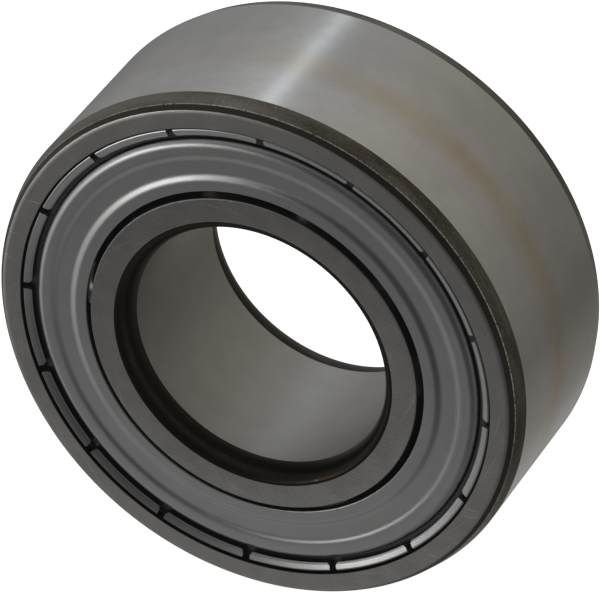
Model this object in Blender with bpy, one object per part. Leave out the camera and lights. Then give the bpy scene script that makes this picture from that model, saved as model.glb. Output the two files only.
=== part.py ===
"""Double-row angular-contact ball bearing with pressed steel shields, 30 x 62 x 23.8 mm.

The bearing's axis is Y, its centre is the origin and Z is up, so it stands on its rim
with its front face towards -Y. Both rings and both shields are turned profiles, given as
(radius, y) points. The rear half repeats the front half, turned half round about Z.
"""

import math

import bmesh
import bpy
from mathutils import Matrix, Vector

MM = 0.001

# Boundary dimensions
BORE_RADIUS = 15.0 * MM
OUTER_RADIUS = 31.0 * MM
HALF_WIDTH = 11.9 * MM

# Balls and rows
BALL_RADIUS = 4.7625 * MM
PITCH_RADIUS = 23.0 * MM
ROW_OFFSET = 5.1 * MM
BALLS_PER_ROW = 10
CONTACT_ANGLE = math.radians(30)

# Raceways: a groove's radius is 4% over the ball's, and its wall stays clear of the ball
RACE_RADIUS = 1.04 * BALL_RADIUS
RACE_GAP = 0.12 * MM
RACE_STEPS = 5

# Outer ring
OUTER_RIB_RADIUS = 26.0 * MM
OUTER_SHOULDER_RADIUS = 26.9 * MM
OUTER_CORNER_RADIAL = 1.4 * MM
OUTER_CORNER_AXIAL = 2.3 * MM
SEAT_DEPTH = 1.6 * MM
GROOVE_RADIUS = 28.2 * MM
GROOVE_MOUTH_DEPTH = 0.55 * MM
LIP_RADIUS = 27.8 * MM
LIP_DEPTH = 0.25 * MM

# Inner ring
INNER_RIB_RADIUS = 19.0 * MM
INNER_SHOULDER_RADIUS = 19.3 * MM
INNER_SHOULDER_CHAMFER = 0.3 * MM
BORE_CORNER_RADIAL = 1.5 * MM
BORE_CORNER_AXIAL = 2.6 * MM

CORNER_STEPS = 3

# Shield: radii along the sheet, and depths of its front surface behind the ring's face
SHEET = 0.35 * MM
SHIELD_INNER_RADIUS = 20.0 * MM
CHANNEL_INNER_RADIUS = 21.65 * MM
CHANNEL_OUTER_RADIUS = 24.0 * MM
RIDGE_OUTER_RADIUS = 25.75 * MM
HEM_RADIUS = 27.95 * MM
HEM_CREST_RADIUS = 27.6 * MM
TAB_EDGE_RADIUS = 26.25 * MM
STEP_RUN = 0.3 * MM
FLAT_DEPTH = 0.32 * MM
CHANNEL_DEPTH = 0.62 * MM
RIDGE_DEPTH = 0.42 * MM
FLANGE_DEPTH = 1.15 * MM
HEM_CREST_DEPTH = 0.21 * MM
TAB_EDGE_DEPTH = 0.75 * MM
TABS = 16
SLIT_WIDTH = 0.75 * MM
FIRST_SLIT = math.radians(-2)
SLIT_FLOOR_GAP = 0.1 * MM

# Cage: radii, and distances from the bearing's middle plane
CAGE_INNER_RADIUS = 21.2 * MM
CAGE_OUTER_RADIUS = 25.8 * MM
CAGE_TIP = 3.2 * MM
CAGE_BACK = 10.55 * MM
CAGE_CHAMFER = 0.9 * MM
POCKET_RADIUS = 5.1 * MM
CLAW_GAP = 1.6 * MM
CLAW_GAP_FLOOR = 5.6 * MM

# Facets
RING_SEGMENTS = 56
SHIELD_SEGMENTS = 48
CAGE_SEGMENTS = 40
BALL_SEGMENTS = 12
BALL_RINGS = 8
POCKET_SEGMENTS = 12
POCKET_RINGS = 8
SHARP_ANGLE = math.radians(28)

AXIS = Vector((0, 1, 0))


def clear_scene():
    for obj in list(bpy.data.objects):
        bpy.data.objects.remove(obj)


def plain_material(name, colour, roughness, metallic=1.0):
    """A material that holds one Principled BSDF."""
    material = bpy.data.materials.new(name)
    material.use_nodes = True
    shader = material.node_tree.nodes["Principled BSDF"]
    shader.inputs["Base Color"].default_value = (*colour, 1)
    shader.inputs["Roughness"].default_value = roughness
    shader.inputs["Metallic"].default_value = metallic
    return material


def add_object(name, mesh, material):
    obj = bpy.data.objects.new(name, mesh)
    bpy.context.scene.collection.objects.link(obj)
    if not mesh.materials:
        mesh.materials.append(material)
    return obj


def finish_mesh(bm, name):
    """Turns a bmesh into a mesh with outward faces and smooth round surfaces."""
    bmesh.ops.recalc_face_normals(bm, faces=bm.faces)
    mesh = bpy.data.meshes.new(name)
    bm.to_mesh(mesh)
    bm.free()
    mesh.shade_smooth()
    mesh.set_sharp_from_angle(angle=SHARP_ANGLE)
    return mesh


def turned(name, profile, segments):
    """A closed profile of (radius, y) points, turned once round the bearing's axis."""
    bm = bmesh.new()
    corners = [bm.verts.new((radius, y, 0)) for radius, y in profile]
    edges = [
        bm.edges.new((corner, corners[(i + 1) % len(corners)]))
        for i, corner in enumerate(corners)
    ]
    bmesh.ops.spin(
        bm,
        geom=corners + edges,
        cent=(0, 0, 0),
        axis=AXIS,
        angle=math.tau,
        steps=segments,
        use_merge=True,
    )
    return finish_mesh(bm, name)


def on_both_sides(half):
    """A rear half profile (y above 0), followed by its mirror image on the front."""
    return half + [(radius, -y) for radius, y in reversed(half)]


def around(angle, radius, y):
    """The point at this angle, radius and y, counted from +X towards +Z."""
    return Vector((radius * math.cos(angle), y, radius * math.sin(angle)))


def race(side, middle_edge_radius, face_edge_radius):
    """The rear raceway as (radius, y) points, from its edge near the bearing's middle to
    its edge near the face. side is 1 in the outer ring and -1 in the inner ring.

    Contact lies at the contact angle: towards the middle in the outer ring, and towards
    the face in the inner ring. The groove's centre is set back from the ball's, away
    from the contact, by what its larger radius asks for.
    """
    setback = RACE_RADIUS - BALL_RADIUS - RACE_GAP
    centre_radius = PITCH_RADIUS - side * setback * math.cos(CONTACT_ANGLE)
    centre_y = ROW_OFFSET + side * setback * math.sin(CONTACT_ANGLE)

    def tilt(edge_radius):
        return math.acos(side * (edge_radius - centre_radius) / RACE_RADIUS)

    first = -tilt(middle_edge_radius)
    last = tilt(face_edge_radius)
    points = []
    for i in range(RACE_STEPS + 1):
        angle = first + (last - first) * i / RACE_STEPS
        radius = centre_radius + side * RACE_RADIUS * math.cos(angle)
        y = centre_y + RACE_RADIUS * math.sin(angle)
        points.append((radius, y))
    return points


def corner(face_radius, wall_radius, wall_y):
    """A quarter ellipse from the rear face to a cylinder, as (radius, y) points."""
    points = []
    for i in range(CORNER_STEPS + 1):
        angle = math.pi / 2 * i / CORNER_STEPS
        radius = face_radius + (wall_radius - face_radius) * math.sin(angle)
        y = wall_y + (HALF_WIDTH - wall_y) * math.cos(angle)
        points.append((radius, y))
    return points


def outer_ring_mesh():
    seat_y = HALF_WIDTH - SEAT_DEPTH
    half = race(1, OUTER_RIB_RADIUS, OUTER_SHOULDER_RADIUS)
    half += [
        (OUTER_SHOULDER_RADIUS, seat_y),
        (GROOVE_RADIUS, seat_y),
        (GROOVE_RADIUS, HALF_WIDTH - GROOVE_MOUTH_DEPTH),
        (LIP_RADIUS, HALF_WIDTH - LIP_DEPTH),
        (LIP_RADIUS, HALF_WIDTH),
    ]
    half += corner(
        OUTER_RADIUS - OUTER_CORNER_RADIAL,
        OUTER_RADIUS,
        HALF_WIDTH - OUTER_CORNER_AXIAL,
    )
    return turned("outer_ring", on_both_sides(half), RING_SEGMENTS)


def inner_ring_mesh():
    half = race(-1, INNER_RIB_RADIUS, INNER_SHOULDER_RADIUS)
    half += [
        (INNER_SHOULDER_RADIUS, HALF_WIDTH - INNER_SHOULDER_CHAMFER),
        (INNER_SHOULDER_RADIUS - INNER_SHOULDER_CHAMFER, HALF_WIDTH),
    ]
    half += corner(
        BORE_RADIUS + BORE_CORNER_RADIAL,
        BORE_RADIUS,
        HALF_WIDTH - BORE_CORNER_AXIAL,
    )
    return turned("inner_ring", on_both_sides(half), RING_SEGMENTS)


def shield_profile():
    """The shield's sheet as (radius, depth) points, where depth runs back from the face.

    From its inner edge outward the sheet is a flat, a channel, a ridge and a flange,
    then it folds forward over itself into the hem that grips the outer ring's groove.
    """
    half_run = STEP_RUN / 2

    def step(radius, depth_before, depth_after):
        return [(radius - half_run, depth_before), (radius + half_run, depth_after)]

    front = [(SHIELD_INNER_RADIUS, FLAT_DEPTH)]
    front += step(CHANNEL_INNER_RADIUS, FLAT_DEPTH, CHANNEL_DEPTH)
    front += step(CHANNEL_OUTER_RADIUS, CHANNEL_DEPTH, RIDGE_DEPTH)
    front += step(RIDGE_OUTER_RADIUS, RIDGE_DEPTH, FLANGE_DEPTH)

    flat_back = FLAT_DEPTH + SHEET
    channel_back = CHANNEL_DEPTH + SHEET
    ridge_back = RIDGE_DEPTH + SHEET
    flange_back = FLANGE_DEPTH + SHEET
    back = [(SHIELD_INNER_RADIUS, flat_back)]
    back += step(CHANNEL_INNER_RADIUS - half_run, flat_back, channel_back)
    back += step(CHANNEL_OUTER_RADIUS + half_run, channel_back, ridge_back)
    back += step(RIDGE_OUTER_RADIUS - SHEET, ridge_back, flange_back)

    slope = math.atan2(
        TAB_EDGE_DEPTH - HEM_CREST_DEPTH, HEM_CREST_RADIUS - TAB_EDGE_RADIUS
    )
    sheet_radial = SHEET * math.sin(slope)
    sheet_axial = SHEET * math.cos(slope)
    fold = HEM_RADIUS - HEM_CREST_RADIUS
    hollow_radius = HEM_RADIUS - SHEET
    hollow = [
        (hollow_radius, FLANGE_DEPTH),
        (hollow_radius, HEM_CREST_DEPTH + SHEET),
    ]
    tab = [
        (TAB_EDGE_RADIUS + sheet_radial, TAB_EDGE_DEPTH + sheet_axial),
        (TAB_EDGE_RADIUS, TAB_EDGE_DEPTH),
        (HEM_CREST_RADIUS, HEM_CREST_DEPTH),
    ]
    rim = [
        (HEM_RADIUS, HEM_CREST_DEPTH + 1.5 * fold),
        (HEM_RADIUS, flange_back - fold / 2),
        (HEM_RADIUS - fold / 2, flange_back),
    ]
    return front + hollow + tab + rim + back[::-1]


def slit_cutter():
    """One box across the hem at each gap between tabs, which stops short of the flange."""
    inner_end = (RIDGE_OUTER_RADIUS + STEP_RUN / 2 + TAB_EDGE_RADIUS) / 2
    outer_end = HEM_RADIUS + SLIT_WIDTH
    reach = outer_end - inner_end
    floor = FLANGE_DEPTH - SLIT_FLOOR_GAP
    height = floor + SLIT_WIDTH
    middle_y = floor - height / 2 - HALF_WIDTH
    bm = bmesh.new()
    for i in range(TABS):
        angle = FIRST_SLIT + math.tau * i / TABS
        place = (
            Matrix.Translation(around(angle, inner_end + reach / 2, middle_y))
            @ Matrix.Rotation(-angle, 4, AXIS)
            @ Matrix.Diagonal((reach, height, SLIT_WIDTH, 1))
        )
        bmesh.ops.create_cube(bm, size=1, matrix=place)
    return add_cutter(bm, "shield_slit_cutter")


def add_cutter(bm, name):
    """A hidden helper object for a Boolean."""
    cutter = bpy.data.objects.new(name, finish_mesh(bm, name))
    bpy.context.scene.collection.objects.link(cutter)
    cutter.hide_render = True
    cutter.display_type = "WIRE"
    return cutter


def cut(obj, cutter):
    boolean = obj.modifiers.new("cut", "BOOLEAN")
    boolean.operation = "DIFFERENCE"
    boolean.solver = "EXACT"
    boolean.object = cutter


def applied(obj):
    """The object's mesh with its modifiers applied, shaded like the rest."""
    graph = bpy.context.evaluated_depsgraph_get()
    mesh = bpy.data.meshes.new_from_object(obj.evaluated_get(graph))
    mesh.shade_smooth()
    mesh.set_sharp_from_angle(angle=SHARP_ANGLE)
    obj.modifiers.clear()
    obj.data = mesh
    return mesh


def front_cage_object(material):
    """The front crown cage: a ring with a ball pocket open towards the middle plane
    at each ball, and a gap that splits each bar between pockets into two claws."""
    section = [
        (CAGE_INNER_RADIUS, -CAGE_TIP),
        (CAGE_OUTER_RADIUS, -CAGE_TIP),
        (CAGE_OUTER_RADIUS, CAGE_CHAMFER - CAGE_BACK),
        (CAGE_OUTER_RADIUS - CAGE_CHAMFER, -CAGE_BACK),
        (CAGE_INNER_RADIUS, -CAGE_BACK),
    ]
    cage = add_object("front_cage", turned("cage", section, CAGE_SEGMENTS), material)
    pockets = bmesh.new()
    gaps = bmesh.new()
    pole_along_axis = Matrix.Rotation(math.pi / 2, 4, "X")
    gap_centre_y = -(CAGE_TIP + CLAW_GAP_FLOOR) / 2 + CLAW_GAP
    gap_height = CLAW_GAP_FLOOR - CAGE_TIP + 2 * CLAW_GAP
    gap_reach = 2 * (CAGE_OUTER_RADIUS - CAGE_INNER_RADIUS)
    for i in range(BALLS_PER_ROW):
        angle = math.tau * i / BALLS_PER_ROW
        bmesh.ops.create_uvsphere(
            pockets,
            u_segments=POCKET_SEGMENTS,
            v_segments=POCKET_RINGS,
            radius=POCKET_RADIUS,
            matrix=Matrix.Translation(around(angle, PITCH_RADIUS, -ROW_OFFSET))
            @ Matrix.Rotation(-angle, 4, AXIS)
            @ pole_along_axis,
        )
        angle += math.pi / BALLS_PER_ROW
        bmesh.ops.create_cube(
            gaps,
            size=1,
            matrix=Matrix.Translation(around(angle, PITCH_RADIUS, gap_centre_y))
            @ Matrix.Rotation(-angle, 4, AXIS)
            @ Matrix.Diagonal((gap_reach, gap_height, CLAW_GAP, 1)),
        )
    cut(cage, add_cutter(pockets, "ball_pocket_cutter"))
    cut(cage, add_cutter(gaps, "claw_gap_cutter"))
    applied(cage)
    return cage


def front_shield_object(material):
    profile = [(radius, depth - HALF_WIDTH) for radius, depth in shield_profile()]
    mesh = turned("shield", profile, SHIELD_SEGMENTS)
    shield = add_object("front_shield", mesh, material)
    cut(shield, slit_cutter())
    applied(shield)
    return shield


def add_rear_copy(front, name, phase=0.0):
    """The same mesh on the rear side: half a turn about Z, then phase about the axis."""
    rear = add_object(name, front.data, front.data.materials[0])
    turn = Matrix.Rotation(phase, 4, AXIS) @ Matrix.Rotation(math.pi, 4, "Z")
    rear.rotation_euler = turn.to_euler()
    return rear


def ball_mesh():
    bm = bmesh.new()
    bmesh.ops.create_uvsphere(
        bm, u_segments=BALL_SEGMENTS, v_segments=BALL_RINGS, radius=BALL_RADIUS
    )
    return finish_mesh(bm, "ball")


def add_row_of_balls(cage, row, mesh, material):
    """Balls in this cage's pockets, each with its poles on the axis that it rolls about."""
    for i in range(BALLS_PER_ROW):
        angle = math.tau * i / BALLS_PER_ROW
        outward = around(angle, 1, 0)
        roll_axis = AXIS * math.cos(CONTACT_ANGLE) - outward * math.sin(CONTACT_ANGLE)
        ball = add_object(f"{row}_ball_{i + 1:02d}", mesh, material)
        ball.parent = cage
        ball.location = around(angle, PITCH_RADIUS, -ROW_OFFSET)
        ball.rotation_euler = roll_axis.to_track_quat("Z", "X").to_euler()


def build():
    clear_scene()
    ring_steel = plain_material("ring_steel", (0.36, 0.355, 0.34), 0.32)
    inner_steel = plain_material("inner_ring_steel", (0.34, 0.335, 0.32), 0.34)
    shield_steel = plain_material("shield_steel", (0.42, 0.43, 0.44), 0.42)
    cage_nylon = plain_material("cage_nylon", (0.55, 0.5, 0.38), 0.5, metallic=0.0)
    ball_steel = plain_material("ball_steel", (0.6, 0.6, 0.6), 0.08)

    outer_ring = add_object("outer_ring", outer_ring_mesh(), ring_steel)
    inner_ring = add_object("inner_ring", inner_ring_mesh(), inner_steel)
    front_shield = front_shield_object(shield_steel)
    rear_shield = add_rear_copy(front_shield, "rear_shield")
    front_cage = front_cage_object(cage_nylon)
    half_pitch = math.pi / BALLS_PER_ROW
    rear_cage = add_rear_copy(front_cage, "rear_cage", half_pitch)

    spin_axis = bpy.data.objects.new("spin_axis", None)
    bpy.context.scene.collection.objects.link(spin_axis)
    for piece in (inner_ring, front_cage, rear_cage):
        piece.parent = spin_axis
    for piece in (front_shield, rear_shield, spin_axis):
        piece.parent = outer_ring

    ball = ball_mesh()
    add_row_of_balls(front_cage, "front", ball, ball_steel)
    add_row_of_balls(rear_cage, "rear", ball, ball_steel)


build()
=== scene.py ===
"""Looks for the double-row ball bearing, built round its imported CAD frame.

The bearing's axis is Y and its front face looks towards -Y. Shapes are worked out in
millimetres and written to the meshes in metres. Depths run back from a ring's side
face. The rear half repeats the front half, turned half round about Z.
"""

import math

import bmesh
import bpy
from mathutils import Matrix, Vector


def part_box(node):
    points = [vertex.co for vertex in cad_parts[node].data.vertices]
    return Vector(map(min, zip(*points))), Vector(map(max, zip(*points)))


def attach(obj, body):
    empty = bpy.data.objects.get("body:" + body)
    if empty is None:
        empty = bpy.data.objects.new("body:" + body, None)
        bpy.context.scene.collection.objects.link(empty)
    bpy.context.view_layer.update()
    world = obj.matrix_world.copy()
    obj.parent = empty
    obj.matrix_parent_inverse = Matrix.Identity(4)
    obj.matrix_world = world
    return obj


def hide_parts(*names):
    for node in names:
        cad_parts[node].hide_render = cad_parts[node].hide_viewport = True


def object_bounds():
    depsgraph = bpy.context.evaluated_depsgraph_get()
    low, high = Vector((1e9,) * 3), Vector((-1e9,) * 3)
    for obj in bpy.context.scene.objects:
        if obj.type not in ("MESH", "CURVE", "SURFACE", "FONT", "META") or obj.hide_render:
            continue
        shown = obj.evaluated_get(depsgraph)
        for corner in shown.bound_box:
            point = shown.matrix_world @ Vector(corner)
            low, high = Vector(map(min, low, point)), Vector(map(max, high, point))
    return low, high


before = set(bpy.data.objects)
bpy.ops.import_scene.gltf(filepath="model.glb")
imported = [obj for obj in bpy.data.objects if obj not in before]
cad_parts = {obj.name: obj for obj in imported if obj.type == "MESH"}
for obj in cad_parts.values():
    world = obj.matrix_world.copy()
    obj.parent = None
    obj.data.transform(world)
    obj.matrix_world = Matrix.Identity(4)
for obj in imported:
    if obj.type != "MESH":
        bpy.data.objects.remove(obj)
cad_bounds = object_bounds()

MM = 0.001
AXIS = Vector((0, 1, 0))

# Sizes taken from the frame, in mm
OUTER_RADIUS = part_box("outer_ring")[1].x / MM
HALF_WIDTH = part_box("outer_ring")[1].y / MM
INNER_SHOULDER_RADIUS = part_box("inner_ring")[1].x / MM
HEM_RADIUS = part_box("front_shield")[1].x / MM
CAGE_OUTER_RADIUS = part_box("front_cage")[1].x / MM
CAGE_TIP = -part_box("front_cage")[1].y / MM
CAGE_BACK = -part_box("front_cage")[0].y / MM

# Balls and raceways, in mm
BALL_RADIUS = 4.7625
PITCH_RADIUS = 23.0
ROW_OFFSET = 5.1
BALLS_PER_ROW = 10
CONTACT_ANGLE = math.radians(30)
RACE_RADIUS = 1.04 * BALL_RADIUS
RACE_GAP = 0.12
RACE_STEPS = 20

# Outer ring, in mm
OUTER_RIB_RADIUS = 26.0
OUTER_SHOULDER_RADIUS = 26.9
SEAT_DEPTH = 1.6
GROOVE_RADIUS = 28.2
GROOVE_MOUTH_DEPTH = 0.55
LIP_RADIUS = 27.8
LIP_DEPTH = 0.25
FACE_OUTER_RADIUS = 29.5
FACE_EDGE_RADIUS = 29.98
FACE_EDGE_TILT = math.radians(15)
FACE_EDGE_STEPS = 6
CORNER_BEND_RADIUS = 30.48
CORNER_BEND_DEPTH = 0.62
CORNER_END_DEPTH = 2.3
SEAT_FILLET = 0.12
GROOVE_FLOOR_FILLET = 0.1
GROOVE_MOUTH_FILLET = 0.06
LIP_FILLET = 0.03
FACE_INNER_FILLET = 0.05
FACE_EDGE_FILLET = 0.07
CORNER_BEND_FILLET = 0.32
CORNER_END_FILLET = 0.15

# Inner ring, in mm
BORE_RADIUS = 15.0
INNER_RIB_RADIUS = 19.0
COLLAR_RADIUS = 19.95
COLLAR_HALF_WIDTH = 0.8
COLLAR_FOOT_HALF_WIDTH = 1.1
COLLAR_FILLET = 0.1
INNER_SHOULDER_CHAMFER = 0.08
INNER_SHOULDER_FILLET = 0.03
BORE_CORNER_RADIAL = 1.5
BORE_CORNER_AXIAL = 2.6
BORE_CORNER_STEPS = 16

# Shield sheet, in mm: the flat, channel and ridge, then the flange
SHEET = 0.35
SHIELD_INNER_RADIUS = 20.0
SHIELD_INNER_FILLET = 0.12
FLAT_DEPTH = 0.34
CHANNEL_INNER_RADIUS = 21.63
CHANNEL_INNER_RUN = 0.52
CHANNEL_OUTER_RADIUS = 24.0
CHANNEL_OUTER_RUN = 0.52
CHANNEL_DEPTH = 0.57
STEP_BEND = 2.0
BACK_STEP_SHIFT = 0.08
RIDGE_OUTER_RADIUS = 26.04
RIDGE_DEPTH = 0.38
RIDGE_BEND = 1.0
FLANGE_RADIUS = 26.25
FLANGE_DEPTH = 1.15
SHEET_BACK_FILLET = 0.3
FOLD_FILLET = 0.1

# Shield's hem, in mm, from its outside inwards
HEM_SIDE_DEPTH = 0.95
HEM_SIDE_FILLET = 0.3
HEM_BACK_FILLET = 0.2
HEM_SHOULDER_RADIUS = 27.68
HEM_SHOULDER_DEPTH = 0.6
HEM_SHOULDER_FILLET = 0.2
HEM_BEVEL_RADIUS = 27.6
HEM_BEVEL_DEPTH = 0.262
HEM_BEVEL_FILLET = 0.05
HEM_CREST_RADIUS = 27.44
HEM_CREST_DEPTH = 0.2
HEM_CREST_FILLET = 0.2
TAB_SHOULDER_RADIUS = 26.92
TAB_SHOULDER_DEPTH = 0.4
TAB_SHOULDER_FILLET = 0.4
TAB_EDGE_RADIUS = 26.66
TAB_EDGE_DEPTH = 0.6

# Slits between the tabs, in mm
TABS = 16
FIRST_SLIT = math.radians(-2)
SLIT_HALF_WIDTH = 0.42
SLIT_END_RADIUS = 26.5
SLIT_FLOOR_DEPTH = 1.05
TAB_CORNER = 0.45
TAB_CORNER_STEPS = 6

# Cage, in mm
CAGE_INNER_RADIUS = 21.2
CAGE_FILLET = 0.3
CAGE_CHAMFER = 0.9
CAGE_CHAMFER_FILLET = 0.4
POCKET_RADIUS = 5.1
CLAW_GAP = 1.6
CLAW_GAP_FLOOR = 5.6
CLAW_GAP_BEVEL = 0.45 * CLAW_GAP

# Mesh fineness
RING_SEGMENTS = 480
SHIELD_SEGMENTS = 480
CAGE_SEGMENTS = 160
POCKET_SEGMENTS = 36
POCKET_RINGS = 24
BEVEL_STEPS = 5
BALL_CUTS = 15
SHARP_ANGLE = math.radians(32)
# Two lengths count as one within this, in metres
SAME_LENGTH = 1e-6

# Fillets: the most of a run that one may take up, and in mm the least worth making and
# how far from it a point holds the flat shading of a run
FILLET_STEPS = 5
FILLET_SHARE = 0.96
FILLET_LEAST = 1e-4
SUPPORT = 0.03
SUPPORT_ROOM = 4 * SUPPORT

# Camera
CAMERA_AZIMUTH = math.radians(25.299)
CAMERA_ELEVATION = math.radians(34.430)
CAMERA_DISTANCE = 0.66344
CAMERA_LENS = 367.52
CAMERA_SENSOR = 36.0
CAMERA_SHIFT = (0.00132, 0.0042)
CAMERA_CLIP = (0.01, 20.0)


# ---------------------------------------------------------------- node helpers


class Graph:
    """Short calls that add nodes to one node tree and join them up."""

    def __init__(self, tree):
        self.tree = tree
        self.tree.nodes.clear()

    def node(self, kind, inputs=None, **settings):
        node = self.tree.nodes.new("ShaderNode" + kind)
        for key, value in settings.items():
            setattr(node, key, value)
        for key, value in (inputs or {}).items():
            self.plug(node.inputs[key], value)
        return node

    def plug(self, socket, value):
        if isinstance(value, bpy.types.NodeSocket):
            self.tree.links.new(value, socket)
        elif socket.type == "RGBA" and len(value) == 3:
            socket.default_value = (*value, 1)
        else:
            socket.default_value = value

    def math(self, operation, *values, clamp=False):
        node = self.node("Math", operation=operation, use_clamp=clamp)
        for socket, value in zip(node.inputs, values):
            self.plug(socket, value)
        return node.outputs[0]

    def add(self, total, *others):
        for other in others:
            total = self.math("ADD", total, other)
        return total

    def times(self, product, *others):
        for other in others:
            product = self.math("MULTIPLY", product, other)
        return product

    def vector(self, operation, *values):
        node = self.node("VectorMath", operation=operation)
        for socket, value in zip(node.inputs, values):
            self.plug(socket, value)
        return node.outputs["Value" if operation in ("DOT_PRODUCT", "LENGTH") else 0]

    def combine(self, x, y, z):
        return self.node("CombineXYZ", {0: x, 1: y, 2: z}).outputs[0]

    def noise(self, vector, scale, detail=2.0, roughness=0.5):
        inputs = {
            "Vector": vector,
            "Scale": scale,
            "Detail": detail,
            "Roughness": roughness,
        }
        return self.node("TexNoise", inputs).outputs[0]

    def ramp(self, value, low, high, from_value=0.0, to_value=1.0):
        """Smoothly from from_value at low to to_value at high."""
        node = self.node("MapRange", interpolation_type="SMOOTHSTEP")
        numbers = (value, low, high, from_value, to_value)
        for socket, number in zip(node.inputs, numbers):
            self.plug(socket, number)
        return node.outputs[0]

    def blend(self, share, first, second):
        """A number that goes from first to second as share goes from 0 to 1."""
        change = self.math("SUBTRACT", second, first)
        return self.math("MULTIPLY_ADD", share, change, first)

    def mix(self, share, first, second):
        node = self.node("Mix", data_type="RGBA")
        self.plug(node.inputs[0], share)
        self.plug(node.inputs[6], first)
        self.plug(node.inputs[7], second)
        return node.outputs[2]

    def scaled(self, vector, factor):
        """A colour or a place, times one number."""
        node = self.node("VectorMath", operation="SCALE")
        self.plug(node.inputs[0], vector)
        self.plug(node.inputs["Scale"], factor)
        return node.outputs[0]

    def send_out(self, shader, kind="OutputMaterial"):
        self.plug(self.node(kind).inputs["Surface"], shader)


def node_material(name):
    material = bpy.data.materials.new(name)
    material.use_nodes = True
    return material


class Metal(Graph):
    """A metal's node tree, with places on the bearing in mm as ready values."""

    def __init__(self, name):
        self.material = node_material(name)
        super().__init__(self.material.node_tree)
        place = self.node("TexCoord").outputs["Object"]
        self.place = self.scaled(place, 1 / MM)
        parts = self.node("SeparateXYZ", {0: self.place})
        self.x, self.y, self.z = parts.outputs
        flat = self.combine(self.x, 0.0, self.z)
        self.radius = self.vector("LENGTH", flat)
        self.outward = self.vector("NORMALIZE", flat)
        self.depth = self.math("SUBTRACT", HALF_WIDTH, self.math("ABSOLUTE", self.y))

    def stretched(self, around, along):
        """Coordinates for streaks: around per mm round the axis, along per mm of Y."""
        return self.vector("MULTIPLY", self.place, (around, along, around))

    def level_streaks(self, across, up):
        """Coordinates for level streaks: across per mm of X, up per mm of Z."""
        return self.vector("MULTIPLY", self.place, (across, 1.0, up))

    def spokes(self, turn_per_mm, count, along):
        """Coordinates for lines that run outward over a face, leaning by turn_per_mm.
        count sets how many there are round it, along how fast each one changes."""
        lean = self.times(self.radius, turn_per_mm)
        turned = self.node("VectorRotate", rotation_type="Y_AXIS")
        self.plug(turned.inputs["Vector"], self.outward)
        self.plug(turned.inputs["Angle"], lean)
        spread = self.scaled(turned.outputs[0], count)
        lift = self.combine(0.0, self.times(self.radius, along), 0.0)
        return self.vector("ADD", spread, lift)

    def finish(self, colour, roughness, height, height_mm, metallic=1.0, **extra):
        """Joins the shader up. height goes from 0 to 1, standing for height_mm."""
        bump = self.node("Bump", {"Height": height, "Distance": height_mm * MM})
        shader = self.node("BsdfPrincipled", {"Base Color": colour})
        self.plug(shader.inputs["Roughness"], roughness)
        self.plug(shader.inputs["Normal"], bump.outputs[0])
        self.plug(shader.inputs["Metallic"], metallic)
        for key, value in extra.items():
            self.plug(shader.inputs[key.replace("_", " ").title()], value)
        self.send_out(shader.outputs[0])
        return self.material

    def round_the_axis(self):
        """The direction that a turned or ground surface's marks run in."""
        tangent = self.node("Tangent", direction_type="RADIAL", axis="Y")
        return tangent.outputs[0]


# ---------------------------------------------------------------- materials

# A noise takes its coordinates, its features per unit of them, its detail and its
# roughness. A ramp takes a value, the two ends it fades between and what it gives at
# each.

SCRATCH_LIGHT = 0.6
SCRATCH_DEPTH = -0.6
# Along Y in mm: where a ground cylinder's painted light and shade has its front and its
# rear brightness
PAINTED_SHADE_FRONT, PAINTED_SHADE_REAR = -8.0, 6.0
# The straw-brown band, in mm: its middle, where its strength fades off to each side of
# that, and where it grows along X from its least strength to its full one
STRAW_MIDDLE = -1.0
STRAW_FADE = (0.2, 3.3)
STRAW_GROWS = (-14.0, 20.0)
STRAW_LEAST = 0.25
# Along X in mm: where painted light on the oxide fades from lighter on the -X side to dark
# on the +X side
OXIDE_LIT_SIDE, OXIDE_SHADED_SIDE = -25.0, 12.0
# Depths in mm over which painted shade darkens the fold behind the hem, and how far
FOLD_SHADE_DEPTHS = (0.66, 1.0)
FOLD_SHADE_LEVEL = 0.22


def ground_face_steel(name, colour, rough_low, rough_high):
    """A ring's side face: ground flat, with fine lines that run outward in some places
    and level in others, and a few deeper scratches."""
    g = Metal(name)
    outward = g.noise(g.spokes(0.03, 95.0, 0.4), 1.6, 3.0, 0.65)
    level = g.noise(g.level_streaks(0.45, 6.5), 1.0, 3.0, 0.65)
    lines = g.blend(g.ramp(g.noise(g.place, 0.12, 1.0), 0.4, 0.62), outward, level)
    scratch = g.math(
        "MAXIMUM",
        g.ramp(g.noise(g.spokes(0.16, 30.0, 0.2), 2.0, 1.0, 0.4), 0.7, 0.78),
        g.ramp(g.noise(g.level_streaks(0.22, 3.2), 1.0, 1.0, 0.4), 0.72, 0.8),
    )
    by_lines = g.ramp(lines, 0.3, 0.7, 0.93, 1.06)
    by_grain = g.ramp(g.noise(g.place, 9.0, 2.0, 0.75), 0.25, 0.75, -0.08, 0.08)
    by_patches = g.ramp(g.noise(g.place, 0.35, 3.0), 0.3, 0.7, 0.94, 1.06)
    shade = g.times(g.add(by_lines, by_grain), by_patches)
    shade = g.add(shade, g.times(scratch, SCRATCH_LIGHT))
    height = g.add(lines, g.times(scratch, SCRATCH_DEPTH))
    rough = g.ramp(lines, 0.3, 0.7, rough_high, rough_low)
    return g.finish(g.scaled(colour, shade), rough, height, height_mm=0.002)


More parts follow.
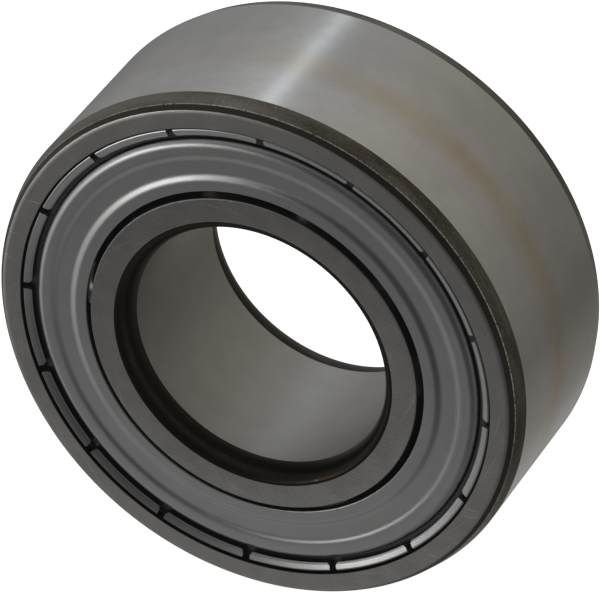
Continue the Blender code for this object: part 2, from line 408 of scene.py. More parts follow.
def ground_cylinder_steel(
    name, colour, tint, tint_share, roughness, front=1.0, rear=1.0
):
    """A ground cylinder: fine marks round the axis, faint mottling, and a straw-brown
    tint in a broad band round the middle, strongest on the +X side, as heat leaves it.
    front and rear are factors of painted light and shade on its brightness towards its two
    ends."""
    g = Metal(name)
    marks = g.noise(g.stretched(0.5, 9.0), 1.0, 3.0, 0.6)
    grain = g.noise(g.stretched(4.0, 7.0), 1.0, 2.0, 0.7)
    by_marks = g.ramp(marks, 0.25, 0.75, 0.975, 1.025)
    by_grain = g.ramp(grain, 0.25, 0.75, -0.03, 0.03)
    by_mottle = g.ramp(g.noise(g.place, 0.3, 3.0, 0.6), 0.3, 0.7, 0.965, 1.035)
    # Painted light and shade: brighter towards one end and darker towards the other
    painted_end_light = g.ramp(g.y, PAINTED_SHADE_FRONT, PAINTED_SHADE_REAR, front, rear)
    shade = g.times(g.add(by_marks, by_grain), by_mottle, painted_end_light)
    off_middle = g.math("ABSOLUTE", g.add(g.y, -STRAW_MIDDLE))
    band = g.ramp(off_middle, *STRAW_FADE, 1.0, 0.0)
    side = g.ramp(g.x, *STRAW_GROWS, STRAW_LEAST, 1.0)
    cloud = g.ramp(g.noise(g.stretched(0.12, 0.3), 1.0, 2.0), 0.3, 0.65, 0.6, 1.0)
    stain = g.times(band, side, cloud)
    return g.finish(
        g.scaled(g.mix(g.times(stain, tint_share), colour, tint), shade),
        g.ramp(grain, 0.25, 0.75, roughness - 0.02, roughness + 0.02),
        g.add(marks, g.times(grain, 0.5)),
        height_mm=0.0005,
        anisotropic=0.3,
        tangent=g.round_the_axis(),
    )


def oxide_steel(name, dark, light, worn):
    """Steel as it came from heat treatment: dark, with rubbed and speckled spots, and
    painted light towards -X.
    """
    g = Metal(name)
    cloud = g.noise(g.stretched(0.1, 0.5), 1.0, 3.0, 0.6)
    speck = g.noise(g.place, 3.2, 3.0, 0.7)
    turning = g.noise(g.stretched(0.1, 7.0), 1.0, 1.0)
    by_cloud = g.ramp(cloud, 0.3, 0.7, 0.0, 0.45)
    by_speck = g.ramp(speck, 0.3, 0.75, 0.0, 0.3)
    # Painted light: the oxide is lighter towards the -X side
    painted_side_light = g.ramp(g.x, OXIDE_LIT_SIDE, OXIDE_SHADED_SIDE, 0.75, 0.0)
    lightness = g.math("ADD", g.add(by_cloud, by_speck), painted_side_light, clamp=True)
    rubbed = g.times(g.ramp(speck, 0.6, 0.78), g.ramp(cloud, 0.42, 0.6))
    base = g.mix(g.times(rubbed, 0.6), g.mix(lightness, dark, light), worn)
    rough = g.ramp(speck, 0.25, 0.75, 0.38, 0.26)
    height = g.add(g.times(turning, 0.6), speck)
    return g.finish(base, rough, height, height_mm=0.004)


def worn_edge_steel(name, dark, bare):
    """An edge where handling has broken through the oxide in a speckled line."""
    g = Metal(name)
    speck = g.noise(g.place, 4.5, 3.0, 0.75)
    spread = g.noise(g.stretched(0.12, 0.0), 1.0, 2.0)
    bright = g.times(g.ramp(speck, 0.36, 0.54), g.ramp(spread, 0.3, 0.55, 0.6, 1.0))
    return g.finish(g.mix(bright, dark, bare), 0.3, speck, height_mm=0.008)


def sheet_steel(name, colour):
    """Pressed and plated sheet: satin, with a faint cloud and drawing marks, and dark
    with painted shade down in the fold behind the hem."""
    g = Metal(name)
    cloud = g.noise(g.place, 0.3, 3.0, 0.55)
    grain = g.noise(g.place, 9.0, 2.0, 0.7)
    drawn = g.noise(g.stretched(0.15, 0.0), 1.0, 2.0)
    drawn_rings = g.combine(g.times(g.radius, 5.0), 0.0, g.times(drawn, 0.8))
    rings = g.noise(drawn_rings, 1.0, 2.0)
    by_cloud = g.ramp(cloud, 0.3, 0.7, 0.97, 1.03)
    by_grain = g.ramp(grain, 0.2, 0.8, -0.03, 0.03)
    by_rings = g.ramp(rings, 0.3, 0.7, -0.015, 0.015)
    # Painted shade: the sheet darkens the deeper it lies, in the fold behind the hem and
    # in the slits
    painted_fold_shade = g.ramp(g.depth, *FOLD_SHADE_DEPTHS, 1.0, FOLD_SHADE_LEVEL)
    shade = g.times(g.add(by_cloud, by_grain, by_rings), painted_fold_shade)
    rough = g.ramp(grain, 0.2, 0.8, 0.32, 0.38)
    height = g.add(grain, g.times(rings, 0.5))
    return g.finish(g.scaled(colour, shade), rough, height, height_mm=0.001)


def race_steel(name, colour):
    """A honed raceway: near-mirror, with hair-fine marks round the axis."""
    g = Metal(name)
    marks = g.noise(g.stretched(0.2, 9.0), 1.0, 2.0)
    shade = g.ramp(marks, 0.2, 0.8, 0.95, 1.03)
    return g.finish(g.scaled(colour, shade), 0.12, marks, height_mm=0.0004)


def cage_polymer(name, colour):
    """Moulded polyamide: cloudy, softly pitted and greased."""
    g = Metal(name)
    cloud = g.noise(g.place, 0.5, 3.0, 0.6)
    pits = g.noise(g.place, 8.0, 2.0, 0.6)
    shade = g.ramp(cloud, 0.3, 0.7, 0.86, 1.08)
    rough = g.ramp(pits, 0.2, 0.8, 0.4, 0.55)
    return g.finish(g.scaled(colour, shade), rough, pits, height_mm=0.01, metallic=0.0)


def ball_metal(name, colour):
    """A lapped ball: a mirror with a faint film of grease."""
    g = Metal(name)
    film = g.noise(g.place, 0.7, 3.0, 0.6)
    shade = g.ramp(film, 0.3, 0.7, 0.93, 1.02)
    rough = g.ramp(film, 0.35, 0.7, 0.05, 0.16)
    return g.finish(g.scaled(colour, shade), rough, film, height_mm=0.0004)


STEEL_FACE = (0.495, 0.48, 0.452)
STEEL_EDGE = (0.40, 0.39, 0.37)
STEEL_GROUND = (0.594, 0.588, 0.574)
STEEL_STRAW = (0.565, 0.50, 0.40)
STEEL_BORE = (0.445, 0.435, 0.415)
STEEL_SHEET = (0.585, 0.58, 0.574)
OXIDE_DARK = (0.056, 0.045, 0.032)
OXIDE_LIGHT = (0.25, 0.228, 0.19)
OXIDE_ROLL = (0.085, 0.075, 0.06)
OXIDE_BORE_DARK = (0.014, 0.0105, 0.0075)
OXIDE_BORE_LIGHT = (0.04, 0.03, 0.021)
# Painted shade: the cage and balls are coloured darker than nylon and steel, so the gap
# between shield and inner ring stays dark
CAGE_NYLON_PAINTED_DARK = (0.12, 0.095, 0.06)
BALL_STEEL_PAINTED_DARK = (0.30, 0.295, 0.28)

outer_face = ground_face_steel("outer_face_ground", STEEL_FACE, 0.32, 0.40)
outer_ground = ground_cylinder_steel(
    "outer_diameter_ground",
    STEEL_GROUND,
    tint=STEEL_STRAW,
    tint_share=1.0,
    roughness=0.20,
    # Painted light: brighter towards the front end, darker towards the rear
    front=1.12,
    rear=0.95,
)
face_edge = worn_edge_steel("outer_face_worn_edge", STEEL_EDGE, STEEL_FACE)
corner_roll = oxide_steel("outer_corner_roll", OXIDE_DARK, OXIDE_ROLL, OXIDE_LIGHT)
corner_oxide = oxide_steel("outer_corner_oxide", OXIDE_DARK, OXIDE_LIGHT, STEEL_FACE)
corner_edge = worn_edge_steel("outer_corner_worn_edge", OXIDE_DARK, STEEL_GROUND)
groove_oxide = oxide_steel(
    "turned_groove_oxide", OXIDE_BORE_DARK, OXIDE_DARK, OXIDE_LIGHT
)
raceway = race_steel("raceway_honed", STEEL_GROUND)
inner_face = ground_face_steel("inner_face_ground", STEEL_FACE, 0.23, 0.30)
bore_ground = ground_cylinder_steel(
    "bore_ground", STEEL_BORE, STEEL_BORE, tint_share=0.0, roughness=0.42
)
bore_oxide = oxide_steel(
    "bore_corner_oxide", OXIDE_BORE_DARK, OXIDE_BORE_LIGHT, OXIDE_LIGHT
)
shoulder_ground = ground_cylinder_steel(
    "inner_shoulder_ground", STEEL_BORE, STEEL_BORE, tint_share=0.0, roughness=0.3
)
shield_sheet = sheet_steel("shield_sheet", STEEL_SHEET)
polymer = cage_polymer("cage_polyamide", CAGE_NYLON_PAINTED_DARK)
lapped = ball_metal("ball_lapped", BALL_STEEL_PAINTED_DARK)


# ---------------------------------------------------------------- shape helpers


class Corner:
    """One corner of a closed profile: its place, its fillet, the material of the run
    that follows it, and the material of the fillet if that differs."""

    def __init__(self, radius, y, fillet=0.0, run=None, edge=None):
        self.place = Vector((radius, y))
        self.fillet = fillet
        self.run = run
        self.edge = edge


def fillet_reach(before, corner, after):
    """How far along both its runs a corner's fillet reaches."""
    if not corner.fillet:
        return 0.0
    into = before.place - corner.place
    out = after.place - corner.place
    reach = corner.fillet / math.tan(into.angle(out) / 2)
    into_share = FILLET_SHARE / 2 if before.fillet else FILLET_SHARE
    out_share = FILLET_SHARE / 2 if after.fillet else FILLET_SHARE
    return min(reach, into_share * into.length, out_share * out.length)


def filleted(corners):
    """Corners to (radius, y, material of the stretch that follows) points. A run that
    is long enough gets a point close to each fillet, to keep its flat shading."""
    count = len(corners)
    near = [(corners[i - 1], corners[(i + 1) % count]) for i in range(count)]
    reaches = [fillet_reach(near[i][0], corners[i], near[i][1]) for i in range(count)]
    points = []
    for i, corner in enumerate(corners):
        before, after = near[i]
        reach = reaches[i]
        if reach < FILLET_LEAST:
            points.append((*corner.place, corner.run))
            continue
        into = before.place - corner.place
        out = after.place - corner.place
        half = into.angle(out) / 2
        back, onward = into.normalized(), out.normalized()
        start = corner.place + back * reach
        end = corner.place + onward * reach
        middle = (back + onward).normalized()
        centre = corner.place + middle * (reach / math.cos(half))
        first = start - centre
        sweep = first.angle_signed(end - centre)
        edge = corner.edge or corner.run
        if into.length > reach + reaches[i - 1] + SUPPORT_ROOM:
            points.append((*(start + back * SUPPORT), before.run))
        for step in range(FILLET_STEPS + 1):
            arm = Matrix.Rotation(-sweep * step / FILLET_STEPS, 2) @ first
            run = edge if step < FILLET_STEPS else corner.run
            points.append((*(centre + arm), run))
        if out.length > reach + reaches[(i + 1) % count] + SUPPORT_ROOM:
            points.append((*(end + onward * SUPPORT), corner.run))
    return points


def mirrored(half):
    """A rear half profile and its mirror image in front, as one closed profile."""
    front = []
    for i, corner in reversed(list(enumerate(half))):
        run = half[i - 1].run if i else corner.run
        radius, y = corner.place
        front.append(Corner(radius, -y, corner.fillet, run, corner.edge))
    return half + front


def turned(name, points, segments, materials):
    """A mesh made by turning closed (radius, y, material) points round the axis."""
    bm = bmesh.new()
    rings = []
    for step in range(segments):
        angle = math.tau * step / segments
        c, s = math.cos(angle) * MM, math.sin(angle) * MM
        rings.append([bm.verts.new((r * c, y * MM, r * s)) for r, y, _ in points])
    count = len(points)
    for step, ring in enumerate(rings):
        following = rings[(step + 1) % segments]
        for i in range(count):
            j = (i + 1) % count
            face = bm.faces.new((ring[i], ring[j], following[j], following[i]))
            face.material_index = materials.index(points[i][2])
    return finish_mesh(bm, name, materials)


def finish_mesh(bm, name, materials):
    """Turns a bmesh into a mesh with outward faces, smooth except at sharp edges."""
    bmesh.ops.recalc_face_normals(bm, faces=bm.faces)
    mesh = bpy.data.meshes.new(name)
    bm.to_mesh(mesh)
    bm.free()
    for material in materials:
        mesh.materials.append(material)
    smooth(mesh)
    return mesh


def smooth(mesh):
    mesh.shade_smooth()
    mesh.set_sharp_from_angle(angle=SHARP_ANGLE)


def add_object(name, data):
    obj = bpy.data.objects.new(name, data)
    bpy.context.scene.collection.objects.link(obj)
    return obj


def stand_in(obj, body, node):
    """obj rides on body and stands for CAD node, which it hides."""
    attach(obj, body)
    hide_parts(node)


def around(angle, radius, y):
    """The point in mm at this angle, counted from +X towards +Z."""
    return Vector((radius * math.cos(angle), y, radius * math.sin(angle)))


def cut(obj, cutter_mesh):
    """Cuts the closed cutter mesh out of obj, and keeps obj's materials."""
    cutter = add_object(cutter_mesh.name, cutter_mesh)
    boolean = obj.modifiers.new("cut", "BOOLEAN")
    boolean.operation = "DIFFERENCE"
    boolean.solver = "EXACT"
    boolean.object = cutter
    graph = bpy.context.evaluated_depsgraph_get()
    mesh = bpy.data.meshes.new_from_object(obj.evaluated_get(graph))
    obj.modifiers.clear()
    bpy.data.objects.remove(cutter)
    old = obj.data
    obj.data = mesh
    bpy.data.meshes.remove(old)
    smooth(mesh)


# ---------------------------------------------------------------- rings


def race(side, middle_edge_radius, face_edge_radius, material):
    """The rear raceway's corners. side is 1 in the outer ring and -1 in the inner ring.
    The groove's centre is set back from the ball's, away from the contact."""
    setback = RACE_RADIUS - BALL_RADIUS - RACE_GAP
    centre_radius = PITCH_RADIUS - side * setback * math.cos(CONTACT_ANGLE)
    centre_y = ROW_OFFSET + side * setback * math.sin(CONTACT_ANGLE)

    def tilt(edge_radius):
        return math.acos(side * (edge_radius - centre_radius) / RACE_RADIUS)

    first = -tilt(middle_edge_radius)
    last = tilt(face_edge_radius)
    corners = []
    for i in range(RACE_STEPS + 1):
        angle = first + (last - first) * i / RACE_STEPS
        radius = centre_radius + side * RACE_RADIUS * math.cos(angle)
        y = centre_y + RACE_RADIUS * math.sin(angle)
        corners.append(Corner(radius, y, 0.0, material))
    return corners


def outer_ring_mesh():
    """The outer ring: raceways, crimping grooves, and side faces that roll over into
    the dark corners."""
    face = HALF_WIDTH
    half = race(1, OUTER_RIB_RADIUS, OUTER_SHOULDER_RADIUS, raceway)
    half[-1].run = groove_oxide
    half += [
        Corner(OUTER_SHOULDER_RADIUS, face - SEAT_DEPTH, SEAT_FILLET, groove_oxide),
        Corner(GROOVE_RADIUS, face - SEAT_DEPTH, GROOVE_FLOOR_FILLET, groove_oxide),
        Corner(
            GROOVE_RADIUS, face - GROOVE_MOUTH_DEPTH, GROOVE_MOUTH_FILLET, groove_oxide
        ),
        Corner(LIP_RADIUS, face - LIP_DEPTH, LIP_FILLET, groove_oxide),
        Corner(LIP_RADIUS, face, FACE_INNER_FILLET, outer_face),
    ]
    roll_radius = (FACE_EDGE_RADIUS - FACE_OUTER_RADIUS) / math.sin(FACE_EDGE_TILT)
    for i in range(FACE_EDGE_STEPS + 1):
        tilt = FACE_EDGE_TILT * i / FACE_EDGE_STEPS
        radius = FACE_OUTER_RADIUS + roll_radius * math.sin(tilt)
        y = face - roll_radius * (1 - math.cos(tilt))
        half.append(Corner(radius, y, 0.0, outer_face))
    half[-1] = Corner(*half[-1].place, FACE_EDGE_FILLET, corner_roll, face_edge)
    half += [
        Corner(
            CORNER_BEND_RADIUS,
            face - CORNER_BEND_DEPTH,
            CORNER_BEND_FILLET,
            corner_oxide,
            corner_edge,
        ),
        Corner(OUTER_RADIUS, face - CORNER_END_DEPTH, CORNER_END_FILLET, outer_ground),
    ]
    points = filleted(mirrored(half))
    materials = [
        outer_face,
        outer_ground,
        face_edge,
        corner_roll,
        corner_edge,
        corner_oxide,
        groove_oxide,
        raceway,
    ]
    return turned("outer_ring_turned", points, RING_SEGMENTS, materials)


def inner_ring_mesh():
    """The inner ring, with a low collar between the rows that closes the line of sight
    from one shield's gap to the other's."""
    face = HALF_WIDTH
    shoulder = INNER_SHOULDER_RADIUS
    chamfer = INNER_SHOULDER_CHAMFER
    half = [
        Corner(COLLAR_RADIUS, COLLAR_HALF_WIDTH, COLLAR_FILLET, raceway),
        Corner(INNER_RIB_RADIUS, COLLAR_FOOT_HALF_WIDTH, COLLAR_FILLET, raceway),
    ]
    half += race(-1, INNER_RIB_RADIUS, shoulder, raceway)
    half[-1].run = shoulder_ground
    half += [
        Corner(shoulder, face - chamfer, INNER_SHOULDER_FILLET, shoulder_ground),
        Corner(shoulder - chamfer, face, INNER_SHOULDER_FILLET, inner_face),
    ]
    face_radius = BORE_RADIUS + BORE_CORNER_RADIAL
    for i in range(BORE_CORNER_STEPS + 1):
        angle = math.pi / 2 * i / BORE_CORNER_STEPS
        radius = face_radius - BORE_CORNER_RADIAL * math.sin(angle)
        y = face - BORE_CORNER_AXIAL * (1 - math.cos(angle))
        run = bore_oxide if i < BORE_CORNER_STEPS else bore_ground
        half.append(Corner(radius, y, 0.0, run))
    points = filleted(mirrored(half))
    materials = [inner_face, bore_ground, bore_oxide, shoulder_ground, raceway]
    return turned("inner_ring_turned", points, RING_SEGMENTS, materials)


outer_ring = add_object("outer_ring_body", outer_ring_mesh())
stand_in(outer_ring, "outer_ring", "outer_ring")
inner_ring = add_object("inner_ring_body", inner_ring_mesh())
stand_in(inner_ring, "inner_ring", "inner_ring")


# ---------------------------------------------------------------- shields


def shield_corners():
    """The front shield's sheet: a flat, a channel, a ridge, a flange, and the hem that
    folds forward over itself and ends in the tabs."""
    corners = []

    def add(radius, depth, fillet=0.0):
        corners.append(Corner(radius, depth - HALF_WIDTH, fillet, shield_sheet))

    def step(radius, run, before, after):
        add(radius - run / 2, before, STEP_BEND)
        add(radius + run / 2, after, STEP_BEND)

    add(SHIELD_INNER_RADIUS, FLAT_DEPTH, SHIELD_INNER_FILLET)
    step(CHANNEL_INNER_RADIUS, CHANNEL_INNER_RUN, FLAT_DEPTH, CHANNEL_DEPTH)
    step(CHANNEL_OUTER_RADIUS, CHANNEL_OUTER_RUN, CHANNEL_DEPTH, RIDGE_DEPTH)
    add(RIDGE_OUTER_RADIUS, RIDGE_DEPTH, RIDGE_BEND)
    add(FLANGE_RADIUS, FLANGE_DEPTH)

    # The fold's hollow side, up to the tab's edge
    hollow = HEM_RADIUS - SHEET
    slope = math.atan2(
        TAB_EDGE_DEPTH - TAB_SHOULDER_DEPTH, TAB_SHOULDER_RADIUS - TAB_EDGE_RADIUS
    )
    add(hollow, FLANGE_DEPTH, FOLD_FILLET)
    add(hollow, HEM_SHOULDER_DEPTH + SHEET / 2, FOLD_FILLET)
    add(HEM_CREST_RADIUS, HEM_CREST_DEPTH + SHEET, FOLD_FILLET)
    add(
        TAB_SHOULDER_RADIUS + SHEET * math.sin(slope / 2),
        TAB_SHOULDER_DEPTH + SHEET * math.cos(slope / 2),
        FOLD_FILLET,
    )
    add(
        TAB_EDGE_RADIUS + SHEET * math.sin(slope),
        TAB_EDGE_DEPTH + SHEET * math.cos(slope),
        FOLD_FILLET,
    )

    # The side that shows, from the tab's edge round the hem to the flange's back
    flange_back = FLANGE_DEPTH + SHEET
    add(TAB_EDGE_RADIUS, TAB_EDGE_DEPTH, FOLD_FILLET)
    add(TAB_SHOULDER_RADIUS, TAB_SHOULDER_DEPTH, TAB_SHOULDER_FILLET)
    add(HEM_CREST_RADIUS, HEM_CREST_DEPTH, HEM_CREST_FILLET)
    add(HEM_BEVEL_RADIUS, HEM_BEVEL_DEPTH, HEM_BEVEL_FILLET)
    add(HEM_SHOULDER_RADIUS, HEM_SHOULDER_DEPTH, HEM_SHOULDER_FILLET)
    add(HEM_RADIUS, HEM_SIDE_DEPTH, HEM_SIDE_FILLET)
    add(HEM_RADIUS, flange_back, HEM_BACK_FILLET)

    # The sheet's back, inwards again
    flat_back = FLAT_DEPTH + SHEET
    channel_back = CHANNEL_DEPTH + SHEET
    ridge_back = RIDGE_DEPTH + SHEET
    channel_outer = CHANNEL_OUTER_RADIUS + BACK_STEP_SHIFT
    channel_inner = CHANNEL_INNER_RADIUS - BACK_STEP_SHIFT
    add(FLANGE_RADIUS - SHEET, flange_back, SHEET_BACK_FILLET)
    add(RIDGE_OUTER_RADIUS - SHEET, ridge_back, SHEET_BACK_FILLET)
    step(channel_outer, -CHANNEL_OUTER_RUN, ridge_back, channel_back)
    step(channel_inner, -CHANNEL_INNER_RUN, channel_back, flat_back)
    add(SHIELD_INNER_RADIUS, flat_back, FOLD_FILLET)
    return corners


def slit_outline():
    """A slit's plan as (radius, offset) points: parallel walls, then a flare that
    rounds the corners of the two tabs beside it."""
    side = [
        (HEM_RADIUS + 2 * SLIT_HALF_WIDTH, SLIT_HALF_WIDTH),
        (TAB_EDGE_RADIUS + TAB_CORNER, SLIT_HALF_WIDTH),
    ]
    for i in range(1, TAB_CORNER_STEPS + 1):
        angle = math.pi / 2 * i / TAB_CORNER_STEPS
        radius = TAB_EDGE_RADIUS + TAB_CORNER * (1 - math.sin(angle))
        offset = SLIT_HALF_WIDTH + TAB_CORNER * (1 - math.cos(angle))
        side.append((radius, offset))
    side.append((SLIT_END_RADIUS, SLIT_HALF_WIDTH + TAB_CORNER))
    return side + [(radius, -offset) for radius, offset in reversed(side)]


def slit_cutter():
    """One closed block for each slit, from in front of the shield down to the slit's
    floor."""
    outline = slit_outline()
    front = -HALF_WIDTH - SLIT_HALF_WIDTH
    floor = SLIT_FLOOR_DEPTH - HALF_WIDTH
    bm = bmesh.new()
    for i in range(TABS):
        turn = Matrix.Rotation(-(FIRST_SLIT + math.tau * i / TABS), 4, AXIS)
        near, far = (
            [bm.verts.new(turn @ Vector((r, y, v)) * MM) for r, v in outline]
            for y in (front, floor)
        )
        bm.faces.new(near)
        bm.faces.new(far[::-1])
        count = len(outline)
        for k in range(count):
            n = (k + 1) % count
            bm.faces.new((near[k], far[k], far[n], near[n]))
    return finish_mesh(bm, "slit_cutter", [])


def front_shield_object():
    """The front shield: its sheet turned round the axis, with the slits cut out."""
    points = filleted(shield_corners())
    mesh = turned("shield_sheet", points, SHIELD_SEGMENTS, [shield_sheet])
    shield = add_object("front_shield_sheet", mesh)
    cut(shield, slit_cutter())
    return shield


def rear_copy(front, name, phase=0.0):
    """A copy for the rear side, half a turn about Z and then phase about the axis, with
    the turn worked into its mesh."""
    mesh = front.data.copy()
    mesh.transform(Matrix.Rotation(phase, 4, AXIS) @ Matrix.Rotation(math.pi, 4, "Z"))
    return add_object(name, mesh)


front_shield = front_shield_object()
rear_shield = rear_copy(front_shield, "rear_shield_sheet")
stand_in(front_shield, "outer_ring", "front_shield")
stand_in(rear_shield, "outer_ring", "rear_shield")


# ---------------------------------------------------------------- cages and balls


def front_cage_object():
    """The front crown cage: a filleted ring with a pocket open towards the middle at
    each ball, and a gap that splits each bar between pockets into two claws."""
    chamfered = CAGE_OUTER_RADIUS - CAGE_CHAMFER
    section = [
        Corner(CAGE_INNER_RADIUS, -CAGE_TIP, CAGE_FILLET, polymer),
        Corner(CAGE_OUTER_RADIUS, -CAGE_TIP, CAGE_FILLET, polymer),
        Corner(
            CAGE_OUTER_RADIUS, CAGE_CHAMFER - CAGE_BACK, CAGE_CHAMFER_FILLET, polymer
        ),
        Corner(chamfered, -CAGE_BACK, CAGE_CHAMFER_FILLET, polymer),
        Corner(CAGE_INNER_RADIUS, -CAGE_BACK, CAGE_FILLET, polymer),
    ]
    mesh = turned("cage_crown", filleted(section), CAGE_SEGMENTS, [polymer])
    cage = add_object("front_cage_crown", mesh)
    pockets = bmesh.new()
    gaps = bmesh.new()
    for i in range(BALLS_PER_ROW):
        angle = math.tau * i / BALLS_PER_ROW
        add_pocket(pockets, angle)
        add_claw_gap(gaps, angle + math.pi / BALLS_PER_ROW)
    cut(cage, finish_mesh(pockets, "pocket_cutter", []))
    cut(cage, finish_mesh(gaps, "claw_gap_cutter", []))
    return cage


def on_pitch_circle(angle, y):
    """A frame on the pitch circle at this angle, with its X outward and its Y on Y."""
    centre = around(angle, PITCH_RADIUS, y) * MM
    return Matrix.Translation(centre) @ Matrix.Rotation(-angle, 4, AXIS)


def add_pocket(bm, angle):
    place = on_pitch_circle(angle, -ROW_OFFSET)
    bmesh.ops.create_uvsphere(
        bm,
        u_segments=POCKET_SEGMENTS,
        v_segments=POCKET_RINGS,
        radius=POCKET_RADIUS * MM,
        matrix=place @ Matrix.Rotation(math.pi / 2, 4, "X"),
    )


def add_claw_gap(bm, angle):
    """A block through the bar at this angle, with the edges of its floor rounded."""
    depth = CLAW_GAP_FLOOR - CAGE_TIP + 2 * CLAW_GAP
    reach = 2 * (CAGE_OUTER_RADIUS - CAGE_INNER_RADIUS)
    place = on_pitch_circle(angle, depth / 2 - CLAW_GAP_FLOOR)
    size = Matrix.Diagonal((reach * MM, depth * MM, CLAW_GAP * MM, 1))
    made = bmesh.ops.create_cube(bm, size=1, matrix=place @ size)
    floor = -(CLAW_GAP_FLOOR - CLAW_GAP / 4) * MM

    def runs_along_the_floor(edge):
        first, second = edge.verts
        length = (first.co - second.co).length
        low = first.co.y < floor and second.co.y < floor
        return low and abs(length - reach * MM) < SAME_LENGTH

    edges = dict.fromkeys(edge for vert in made["verts"] for edge in vert.link_edges)
    bmesh.ops.bevel(
        bm,
        geom=[edge for edge in edges if runs_along_the_floor(edge)],
        offset=CLAW_GAP_BEVEL * MM,
        segments=BEVEL_STEPS,
        profile=0.5,
        affect="EDGES",
    )


def ball_mesh():
    """A sphere of even faces, made by swelling a divided cube."""
    bm = bmesh.new()
    bmesh.ops.create_cube(bm, size=2)
    bmesh.ops.subdivide_edges(bm, edges=bm.edges, cuts=BALL_CUTS, use_grid_fill=True)
    for vert in bm.verts:
        x, y, z = (math.tan(part * math.pi / 4) for part in vert.co)
        vert.co = Vector((x, y, z)).normalized() * BALL_RADIUS * MM
    return finish_mesh(bm, "ball_lapped", [lapped])


front_cage = front_cage_object()
rear_cage = rear_copy(front_cage, "rear_cage_crown", math.pi / BALLS_PER_ROW)
stand_in(front_cage, "front_cage", "front_cage")
stand_in(rear_cage, "rear_cage", "rear_cage")

ball = ball_mesh()
for node in sorted(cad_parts):
    if "_ball_" in node:
        low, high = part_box(node)
        piece = add_object(node + "_lapped", ball)
        piece.location = (low + high) / 2
        stand_in(piece, node, node)


# ---------------------------------------------------------------- light and camera

WHITE = (1.0, 1.0, 1.0)
COOL_WHITE = (0.88, 0.94, 1.0)
WARM_WHITE = (1.06, 1.01, 0.915)
LENS_HAZE = 0.0035
# Floor: half its width in metres, its paper's colour, and the glow that keeps it white
FLOOR_REACH = 4.0
FLOOR_PAPER = (0.9, 0.9, 0.9)
FLOOR_GLOW = 0.97
# Where a card's light changes from its lower level to its upper one, from -1 to 1
CARD_LEVELS = (-0.1, 0.75)
STUDIO_BASE = 0.30
# Along Y in a direction: where the studio in front gives way to the one behind
STUDIO_JOIN = (0.1, 0.5)
# Along X and Y in a direction: where the studio's light turns from white to warm
WARM_SIDE = (-0.3, 0.3)
WARM_REAR = (0.0, 0.5)
# Dark and light parts of the studio in front: (direction, start and end of its fade as
# cosines, factor on the base light)
STUDIO_PARTS = [
    ((0.25, -0.95, 0.12), 0.35, 0.92, 0.15),
    ((0.3, -0.3, -0.9), 0.5, 0.95, 0.47),
    ((-0.88, -0.42, -0.22), 0.78, 0.99, 1.6),
]
# Light of the studio behind, by degrees about the Y axis, counted from +X towards +Z
STUDIO_BACK = [
    (-180, 0.306),
    (-138, 0.2),
    (-100, 0.34),
    (-70, 0.21),
    (-38, 0.139),
    (-10, 0.185),
    (42, 0.276),
    (85, 0.37),
    (112, 0.38),
    (132, 0.45),
    (152, 0.35),
    (180, 0.306),
]


def studio_world():
    """White behind the object, and a plain grey studio in its reflections."""
    world = bpy.data.worlds.new("studio")
    world.use_nodes = True
    bpy.context.scene.world = world
    g = Graph(world.node_tree)
    direction = g.node("TexCoord").outputs["Generated"]
    x, y, z = g.node("SeparateXYZ", {0: direction}).outputs
    front = STUDIO_BASE
    for towards, start, end, factor in STUDIO_PARTS:
        cosine = g.vector("DOT_PRODUCT", direction, Vector(towards).normalized())
        front = g.times(front, g.ramp(cosine, start, end, 1.0, factor))
    turn = g.math("MULTIPLY_ADD", g.math("ARCTAN2", z, x), 1 / math.tau, 0.5)
    curve = g.node("ValToRGB", {0: turn})
    curve.color_ramp.interpolation = "EASE"
    stops = curve.color_ramp.elements
    while len(stops) < len(STUDIO_BACK):
        stops.new(0.5)
    for stop, (degrees, level) in zip(stops, STUDIO_BACK):
        stop.position = degrees / 360 + 0.5
        stop.color = (level, level, level, 1)
    level = g.blend(g.ramp(y, *STUDIO_JOIN), front, curve.outputs[0])
    warmth = g.times(g.ramp(x, *WARM_SIDE), g.ramp(y, *WARM_REAR))
    grey = g.scaled(g.mix(warmth, WHITE, WARM_WHITE), level)
    seen = g.node("LightPath").outputs["Is Camera Ray"]
    background = g.node("Background", {"Color": g.mix(seen, grey, WHITE)})
    g.send_out(background.outputs[0], "OutputWorld")


def softbox(name, towards, distance, size, levels, long_axis, edge, colour=WHITE):
    """A glowing card that faces the bearing. Its light goes from the first level at its
    lower end to the second at its upper end, and it fades away towards its edges."""
    towards = Vector(towards).normalized()
    side = Vector(long_axis).cross(towards).normalized()
    up = towards.cross(side)
    width, height = size
    centre = towards * distance
    corners = [(-1, -1), (1, -1), (1, 1), (-1, 1)]
    bm = bmesh.new()
    bm.faces.new(
        [
            bm.verts.new(centre + side * u * width / 2 + up * v * height / 2)
            for u, v in corners
        ]
    )
    uv_layer = bm.loops.layers.uv.new("card")
    for loop, corner in zip(bm.faces[:][0].loops, corners):
        loop[uv_layer].uv = corner
    mesh = bpy.data.meshes.new(name)
    bm.to_mesh(mesh)
    bm.free()
    material = node_material(name)
    g = Graph(material.node_tree)
    place = g.node("UVMap", uv_map="card").outputs[0]
    u, v, _ = g.node("SeparateXYZ", {0: place}).outputs
    off_middle = [g.math("ABSOLUTE", part) for part in (u, v)]
    fades = [g.ramp(part, 1 - edge, 1.0, 1.0, 0.0) for part in off_middle]
    level = g.ramp(v, *CARD_LEVELS, *levels)
    glow = g.node("Emission", {"Color": colour, "Strength": level})
    clear = g.node("BsdfTransparent")
    card = g.node("MixShader")
    g.plug(card.inputs[0], g.times(*fades))
    g.plug(card.inputs[1], clear.outputs[0])
    g.plug(card.inputs[2], glow.outputs[0])
    g.send_out(card.outputs[0])
    mesh.materials.append(material)
    obj = add_object(name, mesh)
    obj.visible_camera = False


def add_lens_haze():
    """Lifts the blacks a very little, as stray light in a lens does."""
    view = bpy.context.scene.view_settings
    view.use_curve_mapping = True
    view.curve_mapping.black_level = (-LENS_HAZE, -LENS_HAZE, -LENS_HAZE)
    view.curve_mapping.update()


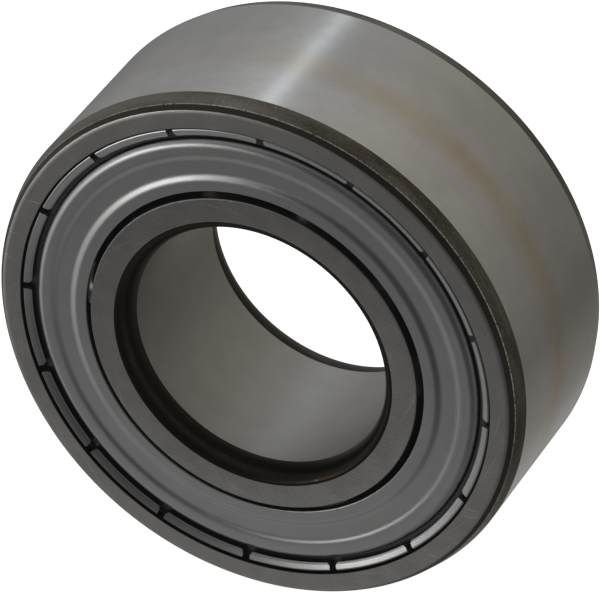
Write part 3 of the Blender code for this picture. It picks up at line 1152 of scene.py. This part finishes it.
def pale_floor():
    """A white floor under the bearing that is left out of the metals' reflections."""
    low, _ = cad_bounds
    bm = bmesh.new()
    bmesh.ops.create_grid(bm, x_segments=1, y_segments=1, size=FLOOR_REACH)
    mesh = bpy.data.meshes.new("floor")
    bm.to_mesh(mesh)
    bm.free()
    material = node_material("floor_white")
    g = Graph(material.node_tree)
    paper = g.node("BsdfDiffuse", {"Color": FLOOR_PAPER})
    glow = g.node("Emission", {"Color": WHITE, "Strength": FLOOR_GLOW})
    blend = g.node("AddShader")
    g.plug(blend.inputs[0], paper.outputs[0])
    g.plug(blend.inputs[1], glow.outputs[0])
    g.send_out(blend.outputs[0])
    mesh.materials.append(material)
    floor = add_object("floor", mesh)
    floor.location = (0, 0, low[2])
    floor.visible_glossy = False
    floor.visible_diffuse = False


def add_camera():
    """The camera fitted to the photograph, looking at the bearing's centre."""
    data = bpy.data.cameras.new("camera")
    data.sensor_width = CAMERA_SENSOR
    data.lens = CAMERA_LENS
    data.shift_x, data.shift_y = CAMERA_SHIFT
    data.clip_start, data.clip_end = CAMERA_CLIP
    camera = add_object("camera", data)
    level = math.cos(CAMERA_ELEVATION)
    towards = Vector(
        (
            math.sin(CAMERA_AZIMUTH) * level,
            -math.cos(CAMERA_AZIMUTH) * level,
            math.sin(CAMERA_ELEVATION),
        )
    )
    camera.location = towards * CAMERA_DISTANCE
    camera.rotation_euler = towards.to_track_quat("Z", "Y").to_euler()
    bpy.context.scene.camera = camera


studio_world()
softbox(
    "strip_light",
    towards=(-0.370, 0.63, 0.662),
    distance=0.85,
    size=(0.05, 1.7),
    levels=(1.5, 1.5),
    long_axis=(0, 1, 0),
    edge=0.4,
    colour=COOL_WHITE,
)
softbox(
    "front_softbox",
    towards=(-0.65, -0.76, -0.03),
    distance=0.7,
    size=(0.30, 0.28),
    levels=(3.2, 3.2),
    long_axis=(0, 0, 1),
    edge=0.5,
)
softbox(
    "low_reflector",
    towards=(-0.302, -0.642, -0.705),
    distance=0.12,
    size=(0.13, 0.15),
    levels=(0.26, 0.08),
    long_axis=(0, 0, 1),
    edge=0.4,
)
pale_floor()
add_camera()
bpy.context.scene.view_settings.view_transform = "Standard"
add_lens_haze()
